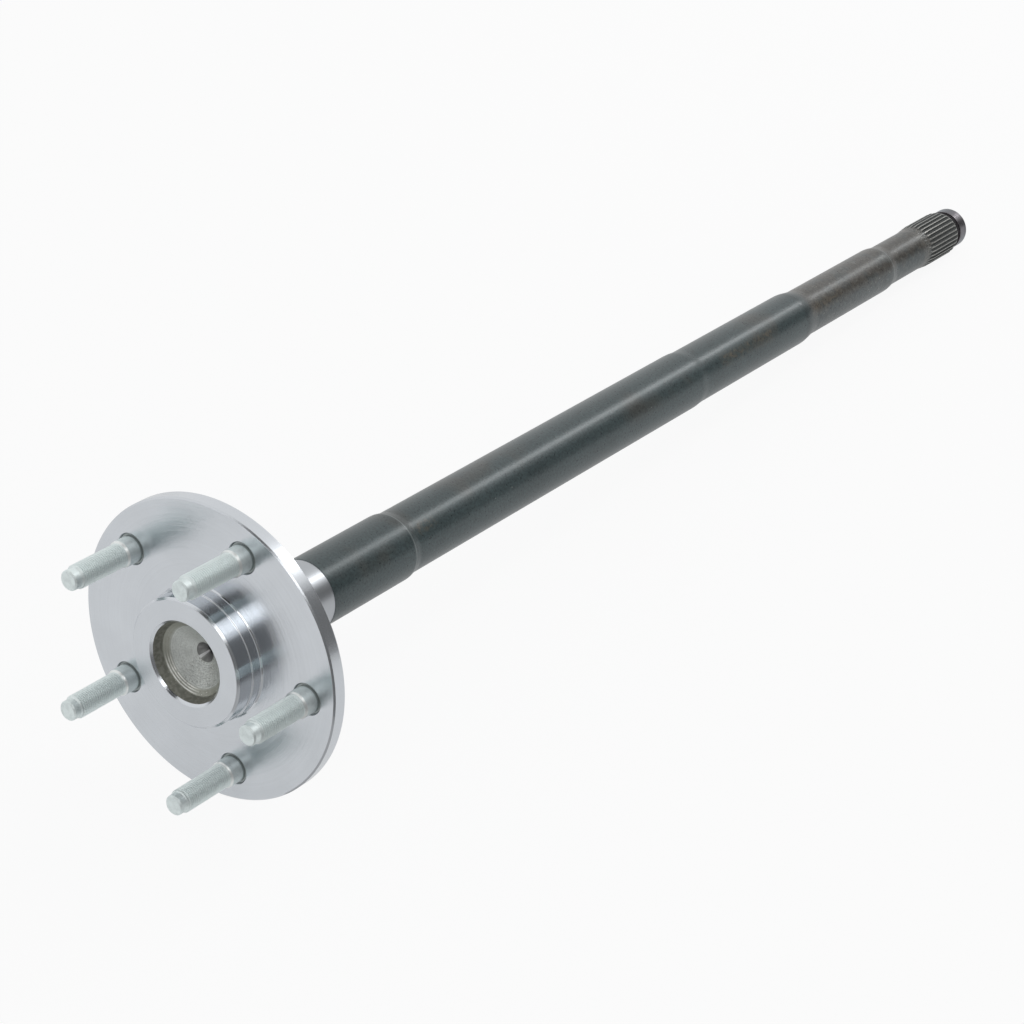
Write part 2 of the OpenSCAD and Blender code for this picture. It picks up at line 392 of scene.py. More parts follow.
class Finish:
    """A material under way: its tree, the axle's own coordinates in millimetres, and its noises."""

    def __init__(self, name):
        self.material = bpy.data.materials.new(name)
        self.material.use_nodes = True
        self.tree = self.material.node_tree
        self.shader = self.tree.nodes["Principled BSDF"]
        to_axle = AXLE_FRAME.inverted()
        part_place = add_node(self.tree, "ShaderNodeTexCoord", output="Object")
        self.place = add_node(
            self.tree,
            "ShaderNodeMapping",
            {"vector_type": "POINT"},
            {
                "Vector": part_place,
                "Location": to_axle.to_translation() / MM,
                "Rotation": to_axle.to_euler(),
                "Scale": (1 / MM, 1 / MM, 1 / MM),
            },
        )
        parts = add_node(self.tree, "ShaderNodeSeparateXYZ", sockets={"Vector": self.place})
        x, y, self.station = parts, parts.out("Y"), parts.out("Z")
        self.radius = (x * x + y * y).math("SQRT")
        self.angle = y.math("ARCTAN2", x)

    def noise(self, grain, detail=2.0, roughness=0.5):
        """Noise with features about grain millimetres across."""
        return add_node(
            self.tree,
            "ShaderNodeTexNoise",
            {"noise_dimensions": "3D"},
            {"Vector": self.place, "Scale": 1.0 / grain, "Detail": detail, "Roughness": roughness},
        )

    def lines(self, along, spacing, detail=2.0):
        """Noise in one direction only: turning marks about spacing millimetres apart."""
        return add_node(
            self.tree,
            "ShaderNodeTexNoise",
            {"noise_dimensions": "1D"},
            {"W": along, "Scale": 1.0 / spacing, "Detail": detail, "Roughness": 0.6},
        )

    def specks(self, cell, size, amount):
        """Round specks up to size millimetres wide, in a share of the cells that amount gives."""
        cells = add_node(
            self.tree,
            "ShaderNodeTexVoronoi",
            {"feature": "F1", "voronoi_dimensions": "3D"},
            {"Vector": self.place, "Scale": 1.0 / cell, "Randomness": 1.0},
            output="Distance",
        )
        parts = add_node(self.tree, "ShaderNodeSeparateColor", sockets={"Color": cells.out("Color")})
        chosen = parts.step(1 - amount, 1 - amount + 0.01)
        return (1 - cells.step(0.2 * size / cell, 0.5 * size / cell)) * chosen

    def side(self, middle, half, fade):
        """A side of the turned form, fading at both edges, in degrees about the axis."""
        return self.angle.band(math.radians(middle), math.radians(half), math.radians(fade))

    def bump(self, height, depth, strength=1.0):
        """A bump node's normal; height from zero to one is depth millimetres."""
        sockets = {"Height": height, "Distance": depth * MM, "Strength": strength}
        return add_node(self.tree, "ShaderNodeBump", sockets=sockets)

    def set(self, **sockets):
        """Fills the shader's sockets with values or links and returns the material."""
        fill_sockets(self.shader, {name.replace("_", " "): value for name, value in sockets.items()})
        return self.material


# Finishes

# Places in millimetres from the wheel face: a middle, with half a length and a fade where they follow
# Pale rings painted as highlights where two of the shaft's tapers begin to fall
TAPER_HIGHLIGHTS = (137.2, 647.5)
STAINS = ((464.0, 26.0), (561.0, 16.0))
SMEAR = (150.0, 4.0, 8.0)
# Painted shade round each stud's foot, where it goes into its hole
STUD_FOOT_SHADE = (2.0, 2.2, 0.8)

# Millimetres in from the edge of the recess's floor
FLOOR_ARCS = (2.4, 1.5, 0.5)

# Sides in degrees about the axis, from the part's +X downwards: a middle, half a width and a fade
RECESS_LOW_SIDE = (65, 50, 45)
RECESS_LIT_SIDE = (125, 22, 28)
CONE_HIGHLIGHT_SIDE = (132, 7, 5)
DAB_SIDE = (-35, 4, 6)
HAZE_SIDE = (-33, 8, 14)
SMEAR_SIDE = (-44, 5, 12)

# Degrees over which the upper side turns into the under side
UNDERSIDE = (-38, 0)

# Plain colours in linear light
# Near-black painted as shade in the centre drill and in the clip's groove
SHADE_BLACK = (0.03, 0.028, 0.028)
# Near-white of the painted glints and of the painted highlights on the recess floor's arcs
GLINT = (0.96, 0.96, 0.92)
COUNTERSINK = (0.5, 0.5, 0.5)
CONE_HIGHLIGHT = (0.98, 0.98, 0.98)
CLOUD_TINT = (0.6, 0.62, 0.62)
DUST = (0.36, 0.36, 0.33)
# Tone of the painted highlight rings on the tapers
TAPER_HIGHLIGHT_TONE = (0.24, 0.26, 0.255)
# Lighter brown of the collar where the teeth begin, partly a painted highlight
COLLAR_AND_SHEEN = (0.17, 0.155, 0.135)
# Near-white of the painted highlight on the stud shoulder's bevel
SHOULDER_EDGE_HIGHLIGHT = (0.9, 0.93, 0.92)
OXIDE_GLOSS = {"Specular_IOR_Level": 0.62, "Specular_Tint": (0.92, 0.98, 1, 1)}


def shaded(tone, part):
    """A plain colour with each channel times part."""
    return [channel * part for channel in tone]


def darkened(mask, tone, part):
    """A tone that is multiplied by part where the mask is one."""
    return mix(mask, tone, (part, part, part), "MULTIPLY")


def sum_of(terms):
    """The sum of several terms."""
    total, *others = terms
    for term in others:
        total = total + term
    return total


def turned_steel(colours, flange):
    """Bright turned steel: grooves round the axis, deepest on the flat faces, and a duller seal seat."""
    finish = Finish("turned_steel")
    front, back, rim_r = -flange.pilot_h / MM, flange.flange_t / MM, flange.flange_d / 2 / MM
    pilot_r, register_r = flange.pilot_d / 2 / MM, flange.register_d / 2 / MM
    step_at = (register_r - pilot_r) / 2 - flange.register_h / MM
    foot = flange.register_fillet / MM
    across = finish.radius + finish.station
    fine = finish.lines(across, 0.16)
    rings = finish.lines(across, 1.3, 3.0)
    cloud = finish.noise(24.0, 3.0)
    flats = finish.station.band(0.0, 0.05, 0.15) + finish.station.band(front, 0.05, 0.15)
    seat = finish.station.step(back + 1.0, back + 8.0)
    rim = finish.radius.step(rim_r - 1.2, rim_r - 0.7) * (1 - flats).clamped()
    edges = finish.station.band(front + 0.5, 0.45, 0.1)
    step_line = finish.station.band(step_at, 0.1, 0.1) * finish.radius.step(pilot_r - 2.5, pilot_r - 1.5)
    foot_ring = finish.radius.band(register_r, 0.25 * foot, 0.08)
    foot_line = finish.station.band(-0.6 * foot, 0.3 * foot, 0.1) * foot_ring
    tone = mix((rings * 0.3 + cloud * 0.7).step(0.3, 0.75), shaded(colours.bright, 0.93), colours.bright)
    tone = mix(fine.step(0.45, 0.8) * 0.1, tone, shaded(colours.bright, 0.75))
    tone = mix(seat * 0.8, tone, shaded(colours.bright, 0.58))
    tone = mix(rim * 0.8, tone, shaded(colours.bright, 0.9))
    rough = 0.07 + flats * 0.1 + cloud * 0.04 + seat * 0.24
    rough = rough + rim * 0.14 + edges * 0.12 + (step_line + foot_line) * 0.32
    metal = 1 - foot_line * 0.7 - step_line * 0.3
    normal = finish.bump(fine * (0.1 + flats * 0.7), 0.03)
    return finish.set(Base_Color=tone, Metallic=metal, Roughness=rough, Normal=normal)


def forged_recess(colours, flange):
    """The recess: dull scale on the wall, a rough specked floor with painted glints and painted highlights on
    its arcs, and a countersink with a painted highlight, its drill painted black as shade.
    """
    finish = Finish("forged_recess")
    floor_r, drill_r = flange.recess_floor_d / 2 / MM, flange.drill_d / 2 / MM
    centre_r = flange.centre_d / 2 / MM
    wall = finish.radius.step(floor_r - 0.1, floor_r + 0.25)
    cone = 1 - finish.radius.step(centre_r - 0.1, centre_r + 0.15)
    drill = 1 - finish.radius.step(drill_r, drill_r + 0.3)
    rings = finish.lines(finish.radius, 0.45, 3.0)
    grain = finish.noise(0.9, 4.0, 0.75)
    cloud = finish.noise(7.0, 3.0)
    pits = finish.specks(1.3, 1.1, 0.6)
    glints = finish.specks(1.3, 0.8, 0.35)
    low_side, lit_side = finish.side(*RECESS_LOW_SIDE), finish.side(*RECESS_LIT_SIDE)
    arcs = sum_of(finish.radius.band(floor_r - inset, 0.1, 0.3) for inset in FLOOR_ARCS)
    stain = finish.radius.step(floor_r - 3.4, floor_r - 2.2)
    rough_patch = (1 - grain.step(0.35, 0.65)) * (0.4 + low_side * 0.4)
    tone = mix(rough_patch, colours.recess, shaded(colours.recess, 0.4))
    tone = mix(rings.step(0.4, 0.65) * 0.35, tone, shaded(colours.recess, 1.25))
    tone = mix(cloud.step(0.4, 0.7) * 0.4, tone, shaded(colours.recess, 0.65))
    tone = mix(stain * (0.5 + cloud * 0.4), tone, colours.recess_stain)
    # A painted highlight on the floor's arcs, strongest on the lit side
    shine = arcs * (0.04 + lit_side * 0.86) * finish.noise(5.0, 3.0).step(0.3, 0.55)
    tone = mix(shine, tone, GLINT)
    tone = mix(pits * (0.12 + low_side * 0.4), tone, colours.recess_dark)
    # Painted glints: near-white specks, thickest on the low side
    tone = mix(glints * (0.15 + low_side * 0.5), tone, GLINT)
    scale = mix(finish.noise(2.0, 3.0).step(0.4, 0.65), colours.recess_dark, shaded(colours.recess_dark, 1.6))
    tone = mix(wall * (0.7 + cloud * 0.25), tone, scale)
    # A painted highlight: a near-white streak on one side of the countersink's cone
    cone_highlight = finish.side(*CONE_HIGHLIGHT_SIDE) * cone
    tone = mix(cone, tone, COUNTERSINK)
    tone = mix(cone_highlight, tone, CONE_HIGHLIGHT)
    # Painted shade: the centre drill near-black
    tone = mix(drill, tone, SHADE_BLACK)
    rough = 0.42 + grain * 0.16 - cone * 0.18 - shine * 0.15
    normal = finish.bump((grain * 0.7 + rings * 0.2 - pits * 0.5) * (1 - cone), 0.07, 0.8)
    metal = 0.9 - wall * 0.4 - cone_highlight * 0.7 - shine * 0.5
    return finish.set(Base_Color=tone, Metallic=metal, Roughness=rough, Normal=normal)


def oxide_tone(finish, colours, stations):
    """The shaft's dark finish: greenish, clouded and specked, browner and rubbed from the last step on, with
    pale rings painted as highlights where two tapers begin.
    """
    worn = finish.station.step(stations.waist_end / MM + 3, stations.inner_start / MM - 3)
    grain = finish.noise(1.3, 3.0, 0.7)
    cloud = finish.noise(28.0, 4.0, 0.6)
    blotch = finish.noise(2.8, 4.0, 0.75)
    marks = finish.lines(finish.station, 0.8, 3.0)
    under = finish.angle.step(*map(math.radians, UNDERSIDE))
    grey = (under * 0.9 + finish.noise(9.0, 3.0).step(0.45, 0.65) * 0.5).clamped()
    tone = mix(worn, colours.oxide, mix(grey, colours.oxide_worn, colours.oxide_grey))
    browned = finish.noise(40.0, 3.0).step(0.5, 0.7) * (1 - worn) * (1 - under)
    tone = mix(browned * 0.6, tone, colours.oxide_worn)
    tone = mix(cloud.step(0.35, 0.7) * 0.5, tone, CLOUD_TINT, "MULTIPLY")
    tone = darkened(1 - grain.step(0.3, 0.7), tone, 0.5)
    last_step = (stations.waist_end + stations.inner_start) / 2 / MM
    tone = darkened(finish.station.band(last_step - 3, 4.0, 5.0) * 0.8, tone, 0.6)
    tone = darkened((1 - blotch.step(0.36, 0.5)) * worn * 0.45, tone, 0.45)
    tone = mix(blotch.step(0.5, 0.7) * (0.05 + worn * 0.5), tone, colours.wear)
    tone = mix(marks.step(0.5, 0.8) * (0.04 + worn * 0.15), tone, colours.wear)
    # A painted highlight: a pale ring at the start of each of those tapers
    rings = sum_of(finish.station.band(place, 0.25, 0.4) for place in TAPER_HIGHLIGHTS)
    tone = mix(rings * 0.5, tone, TAPER_HIGHLIGHT_TONE)
    stained = sum_of(finish.station.band(place, half, 6.0) for place, half in STAINS).clamped()
    dabs = finish.noise(3.0, 3.0, 0.6).step(0.48, 0.64) * finish.side(*DAB_SIDE) * stained
    haze = blotch.step(0.35, 0.6) * finish.side(*HAZE_SIDE) * stained
    smear = blotch.step(0.4, 0.7) * finish.station.band(*SMEAR) * finish.side(*SMEAR_SIDE)
    tone = mix((dabs * 0.45 + haze * 0.25 + smear * 0.5).clamped(), tone, colours.rust)
    dust = finish.specks(8.0, 0.9, 0.06) + finish.specks(3.0, 1.0, 0.25) * worn
    tone = mix((dust * 0.6).clamped(), tone, DUST)
    relief = grain * 0.8 + marks * worn * 0.4 + blotch * worn * 1.5
    return tone, grain, relief


def oxide_shaft(colours, stations):
    """The plain shaft: its dark finish with a slightly grainy surface."""
    finish = Finish("oxide_shaft")
    tone, grain, relief = oxide_tone(finish, colours, stations)
    normal = finish.bump(relief, 0.11, 0.7)
    finish.set(**OXIDE_GLOSS)
    return finish.set(Base_Color=tone, Roughness=0.22 + grain * 0.16, Normal=normal)


def splined_end(colours, shaft, stations):
    """The splined end: teeth rising out of the dark neck past a lighter collar partly painted as highlight,
    bare crests, dark oil between the teeth painted near-black so it also serves as shade, a clip groove
    painted black as shade, a grey button.
    """
    finish = Finish("splined_end")
    neck, grain, relief = oxide_tone(finish, colours, stations)
    crest_r, neck_r = shaft.spline_d / 2 / MM, shaft.neck_d / 2 / MM
    lead_start, lead_l = stations.spline_start / MM, shaft.spline_lead / MM
    groove_start, groove_end = stations.spline_end / MM, stations.button_start / MM
    rise = finish.station.step(lead_start + 0.55 * lead_l, lead_start + 0.65 * lead_l)
    leading = (finish.station - lead_start) * ((crest_r - neck_r) / lead_l) + neck_r
    end_r = crest_r - shaft.spline_drop / MM
    ending = (groove_start - finish.station) * (shaft.spline_drop / shaft.spline_taper) + end_r
    outside = leading.math("MINIMUM", ending).math("MINIMUM", crest_r)
    crest = 1 - (outside - finish.radius).step(0.02, 0.1)
    button = finish.station.step(groove_end - 0.2, groove_end)
    groove = finish.station.step(groove_start - 0.1, groove_start + 0.3) * (1 - button)
    cloud = finish.noise(6.0, 3.0)
    bare = crest * (0.4 + grain * 0.6).clamped() * rise
    # A lighter brown collar where the teeth begin, lightened further as a painted highlight
    collar_and_sheen = finish.station.band(lead_start + 2.0, 3.0, 3.0) * grain.step(0.3, 0.6)
    tone = mix(collar_and_sheen * 0.6, neck, COLLAR_AND_SHEEN)
    # Between the teeth: dark oil painted near-black, which also serves as painted shade
    tone = mix(rise, tone, mix(bare, colours.valley, colours.crest))
    end = mix(cloud.step(0.35, 0.7), shaded(colours.button, 0.75), colours.button)
    tone = mix(button, tone, end)
    # Painted shade: the clip's groove near-black
    tone = mix(groove, tone, SHADE_BLACK)
    metal = bare * 0.9 + button * 0.4
    oiled = rise * (1 - bare) * (1 - button)
    rough = 0.24 + grain * 0.16 + oiled * 0.3
    normal = finish.bump(relief * (1 - rise) + grain * rise * 0.5, 0.1, 0.6)
    finish.set(**OXIDE_GLOSS)
    return finish.set(Base_Color=tone, Metallic=metal, Roughness=rough, Normal=normal)


def zinc_plating(colours, studs):
    """Dull zinc: pale crests, roots darkened as painted shade, a mottled shoulder and tip, a painted highlight
    on the shoulder's bevel, and painted shade on the foot at its hole.
    """
    finish = Finish("zinc_plating")
    # The thread_root attribute darkens the thread's roots: painted shade in the thread
    root = add_node(finish.tree, "ShaderNodeAttribute", {"attribute_name": "thread_root"}, output="Fac")
    grain = finish.noise(0.5, 3.0, 0.6)
    cloud = finish.noise(3.5, 3.0, 0.6)
    tip_end = (studs.point_h - studs.stud_h) / MM
    shoulder_end = -studs.shoulder_h / MM
    shoulder = finish.station.step(shoulder_end - 0.2, shoulder_end + 0.4)
    tip = 1 - finish.station.step(tip_end - 0.3, tip_end + 0.3)
    # A painted highlight: a pale ring on the bevel from the shoulder to the thread
    bevel = finish.station.band(shoulder_end - 0.3, 0.4, 0.2)
    mottle = cloud.step(0.35, 0.7)
    dull_and_root_shade = root * 0.32 + shoulder * mottle * 0.35 + tip * mottle * 0.45 + grain.step(0.45, 0.75) * 0.2
    tone = mix(dull_and_root_shade.clamped() * (1 - bevel), colours.zinc, colours.zinc_dull)
    tone = mix(bevel, tone, SHOULDER_EDGE_HIGHLIGHT)
    spots = shoulder * finish.noise(1.6, 3.0, 0.6).step(0.5, 0.7)
    tone = mix(spots * 0.15, tone, shaded(colours.zinc_dull, 0.6))
    # Painted shade: the stud's foot darkened at the mouth of its hole
    tone = mix(finish.station.band(*STUD_FOOT_SHADE) * 0.6, tone, shaded(colours.zinc_dull, 0.35))
    rough = 0.46 + grain * 0.14 - bevel * 0.15
    normal = finish.bump(grain, 0.03, 0.6)
    return finish.set(Base_Color=tone, Metallic=0.82, Roughness=rough, Normal=normal)


# Turned meshes

Corner = namedtuple("Corner", "finish station radius rounding", defaults=[0.0])
Row = namedtuple("Row", "station radius finish")
ARC_STEPS = 4
TAPER_STEPS = 10
SUPPORT = 0.15 * MM
ON_AXIS = 1e-7


def stretch(finish, *corners):
    """Corners of an outline, each a station, a radius and maybe a rounding, in the finish before them."""
    return [Corner(finish, *corner) for corner in corners]


def rounded(corners):
    """Rows of an outline with its corners rounded, each between two close rows that keep the flats flat."""
    places = [Vector((corner.station, corner.radius)) for corner in corners]
    reaches = [0.0] * len(corners)
    for i in range(1, len(corners) - 1):
        inside = (places[i - 1] - places[i]).angle(places[i + 1] - places[i])
        reaches[i] = corners[i].rounding / math.tan(inside / 2)

    def support(i, j):
        """Distance from corner i, towards corner j, of the row that keeps the flat between them flat."""
        spare = (places[j] - places[i]).length - reaches[i] - reaches[j]
        return reaches[i] + min(SUPPORT, spare / 3)

    rows = [Row(*places[0], corners[0].finish)]
    for i, here in enumerate(corners[1:-1], 1):
        if not here.rounding:
            rows.append(Row(*places[i], here.finish))
            continue
        back = (places[i - 1] - places[i]).normalized()
        ahead = (places[i + 1] - places[i]).normalized()
        half = back.angle(ahead) / 2
        middle = (back + ahead).normalized() * here.rounding / math.sin(half)
        start, end = back * reaches[i] - middle, ahead * reaches[i] - middle
        rows.append(Row(*(places[i] + back * support(i, i - 1)), here.finish))
        for step in range(ARC_STEPS + 1):
            spoke = start.slerp(end, step / ARC_STEPS) * here.rounding
            rows.append(Row(*(places[i] + middle + spoke), here.finish))
        rows.append(Row(*(places[i] + ahead * support(i, i + 1)), corners[i + 1].finish))
    rows.append(Row(*places[-1], corners[-1].finish))
    return rows


def taper(start, reach, radius_from, radius_to, finish, linear=False):
    """Corners of a change of radius, smooth or straight."""
    def share_at(part):
        return part if linear else (1 - math.cos(math.pi * part)) / 2

    parts = [i / TAPER_STEPS for i in range(TAPER_STEPS + 1)]
    change = radius_to - radius_from
    return stretch(finish, *((start + reach * part, radius_from + change * share_at(part)) for part in parts))


def new_mesh(name, points, faces, used, finishes, smooth=True):
    """A mesh with the finishes in its slots, where used names the finish of each face."""
    mesh = bpy.data.meshes.new(name)
    mesh.from_pydata(points, [], faces)
    for material in finishes.values():
        mesh.materials.append(material)
    slots = {finish: slot for slot, finish in enumerate(finishes)}
    mesh.polygons.foreach_set("material_index", [slots[finish] for finish in used])
    mesh.polygons.foreach_set("use_smooth", [smooth] * len(faces))
    mesh.update()
    return mesh


def turned_mesh(name, rows, angles, finishes, limit=None):
    """A closed turned mesh about +Z; limit(station, angle) may hold the radius in, as between teeth."""
    points, faces, used, rings = [], [], [], []
    for row in rows:
        if row.radius < ON_AXIS:
            rings.append([len(points)] * len(angles))
            points.append((0.0, 0.0, row.station))
            continue
        rings.append(range(len(points), len(points) + len(angles)))
        for angle in angles:
            radius = min(row.radius, limit(row.station, angle)) if limit else row.radius
            points.append((radius * math.cos(angle), radius * math.sin(angle), row.station))
    for lower, upper, row in zip(rings, rings[1:], rows[1:]):
        for i in range(len(angles)):
            j = (i + 1) % len(angles)
            faces.append(list(dict.fromkeys((lower[i], lower[j], upper[j], upper[i]))))
            used.append(row.finish)
    return new_mesh(name, points, faces, used, finishes)


def even_angles(count):
    """Angles of a mesh's columns, evenly round the axis."""
    return [2 * math.pi * i / count for i in range(count)]


def new_object(name, data):
    """A new object in the scene."""
    piece = bpy.data.objects.new(name, data)
    bpy.context.scene.collection.objects.link(piece)
    return piece


def settle(piece):
    """Turns a piece's modifiers into a plain mesh and lays it down in the part's frame."""
    bpy.context.view_layer.update()
    evaluated = piece.evaluated_get(bpy.context.evaluated_depsgraph_get())
    mesh = bpy.data.meshes.new_from_object(evaluated)
    mesh.name = piece.name
    piece.modifiers.clear()
    piece.data = mesh
    mesh.transform(AXLE_FRAME)
    mesh.update()


# The axle

FLOOR_STEPS = 24
FILLET_STEPS = 12
CENTRE_ROUND = 0.1 * MM
HOLE_COLUMNS = 64
HOLE_BEYOND = 1.0 * MM
SHARP_ANGLE = math.radians(32)


def recess_outline(flange):
    """The centre drill, its countersink, the dished floor and the wall of the recess."""
    floor_edge = flange.recess_wall_h - flange.pilot_h
    floor_r, centre_r, drill_r = flange.recess_floor_d / 2, flange.centre_d / 2, flange.drill_d / 2

    def dish(radius):
        return floor_edge + flange.dish_h * (1 - (radius / floor_r) ** flange.dish_power)

    centre_start = dish(centre_r)
    drill_start = centre_start + (centre_r - drill_r) / math.tan(flange.centre_angle / 2)
    drill_end = drill_start + flange.drill_h
    floor_radii = [centre_r + (floor_r - centre_r) * i / FLOOR_STEPS for i in range(1, FLOOR_STEPS)]
    return stretch(
        "recess",
        (drill_end, 0),
        (drill_end, drill_r),
        (drill_start, drill_r),
        (centre_start, centre_r, CENTRE_ROUND),
        *((dish(radius), radius) for radius in floor_radii),
        (floor_edge, floor_r, flange.floor_round),
        (flange.recess_bevel - flange.pilot_h, flange.recess_d / 2, 2 * flange.edge_round),
    )


def flange_outline(flange, shaft, at):
    """The pilot, the register, the flange with its back fillet, the seal seat and its relief."""
    soft, bevel, fillet = flange.edge_round, flange.flange_bevel, flange.flange_fillet
    pilot_r, register_r, flange_r = flange.pilot_d / 2, flange.register_d / 2, flange.flange_d / 2
    seat_r, relief_r = shaft.seat_d / 2, shaft.journal_d / 2 - shaft.relief_h
    front, back = -flange.pilot_h, flange.flange_t
    quarter = [math.pi / 2 * i / FILLET_STEPS for i in range(FILLET_STEPS + 1)]

    def fillet_at(angle):
        return back + fillet * (1 - math.cos(angle)), seat_r + fillet * (1 - math.sin(angle))

    return stretch(
        "bright",
        (front, flange.recess_d / 2 + flange.recess_bevel, 2 * soft),
        (front, pilot_r - flange.pilot_bevel, 3 * soft),
        (front + flange.pilot_bevel, pilot_r, 2 * soft),
        (-flange.register_h, pilot_r, soft),
        (register_r - pilot_r - flange.register_h, register_r, soft),
        (-flange.register_fillet, register_r, soft),
        (0, register_r + flange.register_fillet, soft),
        (0, flange_r - bevel, 2 * soft),
        (bevel, flange_r, 2 * soft),
        (back - bevel, flange_r, 2 * soft),
        (back, flange_r - bevel, 2 * soft),
        *(fillet_at(angle) for angle in quarter),
        (shaft.seat_end - (seat_r - relief_r), seat_r, soft),
        (shaft.seat_end, relief_r, soft),
        (at.journal_start, relief_r, soft / 2),
    )


def shaft_outline(shaft, at, soft):
    """The journal, the body, the waist and the inner length, each with the taper after it."""
    journal_r, body_r, waist_r = shaft.journal_d / 2, shaft.body_d / 2, shaft.waist_d / 2
    inner_r, neck_r = shaft.inner_d / 2, shaft.neck_d / 2
    return [
        *stretch("oxide", (at.journal_start, journal_r, soft / 2)),
        *taper(at.journal_end, shaft.journal_taper, journal_r, body_r, "oxide"),
        *taper(at.body_end, shaft.body_taper, body_r, waist_r, "oxide"),
        *taper(at.waist_end, shaft.waist_taper, waist_r, inner_r, "oxide"),
        *taper(at.inner_end, shaft.inner_taper, inner_r, neck_r, "oxide"),
    ]


def spline_outline(shaft, at, soft):
    """The neck, the spline over its crests, the clip's groove and the end button."""
    neck_r, spline_r = shaft.neck_d / 2, shaft.spline_d / 2
    clip_r, button_r = shaft.clip_d / 2, shaft.button_d / 2
    teeth_end = stretch(
        "spline",
        (at.spline_end - shaft.spline_taper, spline_r),
        (at.spline_end, spline_r - shaft.spline_drop),
        (at.spline_end, clip_r, 3 * soft),
        (at.button_start, clip_r, 3 * soft),
        (at.button_start, button_r, 3 * soft),
        (at.shaft_end - shaft.button_bevel, button_r, 6 * soft),
        (at.shaft_end, button_r - shaft.button_bevel, 6 * soft),
        (at.shaft_end, 0),
    )
    return taper(at.spline_start, shaft.spline_lead, neck_r, spline_r, "spline", linear=True) + teeth_end


def axle_rows(flange, shaft, at):
    """Rows of the forging's outline, from the centre drill round the flange to the end button."""
    soft = flange.edge_round
    return rounded([
        *recess_outline(flange),
        *flange_outline(flange, shaft, at),
        *shaft_outline(shaft, at, soft),
        *spline_outline(shaft, at, soft),
    ])


class ToothForm:
    """The spline's tooth form, in angles from the middle of a crest."""

    EDGE_SOFT = math.radians(0.22)

    def __init__(self, shaft, at):
        self.at = at
        self.pitch = 2 * math.pi / shaft.spline_teeth
        self.crest_r = shaft.spline_d / 2
        self.root_r = self.crest_r - shaft.tooth_h
        mouth = shaft.space_w / 2 + shaft.tooth_h * math.tan(shaft.flank_angle)
        self.crest_edge = self.pitch / 2 - math.asin(mouth / self.crest_r)
        self.root_edge = self.pitch / 2 - math.asin(shaft.space_w / 2 / self.root_r)
        self.teeth = shaft.spline_teeth

    def angles(self):
        """Angles of the mesh's columns: the tooth's corners, each split in two, on every tooth."""
        soft = self.EDGE_SOFT
        middle = (self.crest_edge + self.root_edge) / 2
        marks = [self.crest_edge - soft, self.crest_edge + soft, middle]
        marks += [self.root_edge - soft, self.root_edge + soft]
        tooth = [-mark for mark in reversed(marks)] + [0.0] + marks + [self.pitch / 2]
        return [math.pi / 2 + self.pitch * i + mark for i in range(self.teeth) for mark in tooth]

    def limit(self, station, angle):
        """The largest radius at a place on the spline."""
        if not self.at.spline_start < station < self.at.spline_end:
            return math.inf
        off = abs((angle - math.pi / 2 + self.pitch / 2) % self.pitch - self.pitch / 2)
        depth = (off - self.crest_edge) / (self.root_edge - self.crest_edge)
        return self.crest_r + (self.root_r - self.crest_r) * min(1.0, max(0.0, depth))


def stud_holes(flange, studs, finishes):
    """A cutter for the flange's stud holes, with their bevelled mouths."""
    bevel, hole_r = studs.hole_bevel, studs.knurl_d / 2 + studs.knurl_fit
    mouth_r = hole_r + 2 * bevel
    start, end = -HOLE_BEYOND, flange.flange_t + HOLE_BEYOND
    outline = ((start, 0), (start, mouth_r), (-bevel, mouth_r), (bevel, hole_r), (end, hole_r), (end, 0))
    rows = [Row(station, radius, "bright") for station, radius in outline]
    one = turned_mesh("stud_hole", rows, even_angles(HOLE_COLUMNS), finishes)
    points, faces = [], []
    for i in range(studs.count):
        around = studs.first_turn + 2 * math.pi * i / studs.count
        middle = Vector((math.cos(around), math.sin(around), 0)) * studs.circle_d / 2
        first = len(points)
        points += [vertex.co + middle for vertex in one.vertices]
        faces += [[first + v for v in polygon.vertices] for polygon in one.polygons]
    bpy.data.meshes.remove(one)
    used = ["bright"] * len(faces)
    return new_object("stud_holes", new_mesh("stud_holes", points, faces, used, finishes, smooth=False))


class AXLE_OT_axle(Operator):
    """Turn the axle forging: flange, pilot, recess, stepped shaft and spline, with its stud holes"""

    bl_idname = "axle.make_axle"
    bl_label = "Axle forging"

    def execute(self, context):
        flange, shaft = context.scene.axle_flange, context.scene.axle_shaft
        studs, colours = context.scene.axle_studs, context.scene.axle_finish
        at = shaft.stations()
        finishes = {
            "bright": turned_steel(colours, flange),
            "recess": forged_recess(colours, flange),
            "oxide": oxide_shaft(colours, at),
            "spline": splined_end(colours, shaft, at),
        }
        tooth = ToothForm(shaft, at)
        mesh = turned_mesh("axle", axle_rows(flange, shaft, at), tooth.angles(), finishes, tooth.limit)
        axle = new_object("axle", mesh)
        cutter = stud_holes(flange, studs, finishes)
        cut = axle.modifiers.new("stud holes", "BOOLEAN")
        cut.operation = "DIFFERENCE"
        cut.solver = "MANIFOLD"
        cut.object = cutter
        settle(axle)
        bpy.data.objects.remove(cutter)
        axle.data.set_sharp_from_angle(angle=SHARP_ANGLE)
        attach(axle, "root")
        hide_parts("axle_shaft")
        return {"FINISHED"}


# The wheel studs

THREAD_ROWS = 10
THREAD_STOP = 0.6 * MM
THREAD_SHARPNESS = 0.62
STUD_COLUMNS = 48
STUD_OWN_TURN = 1.3


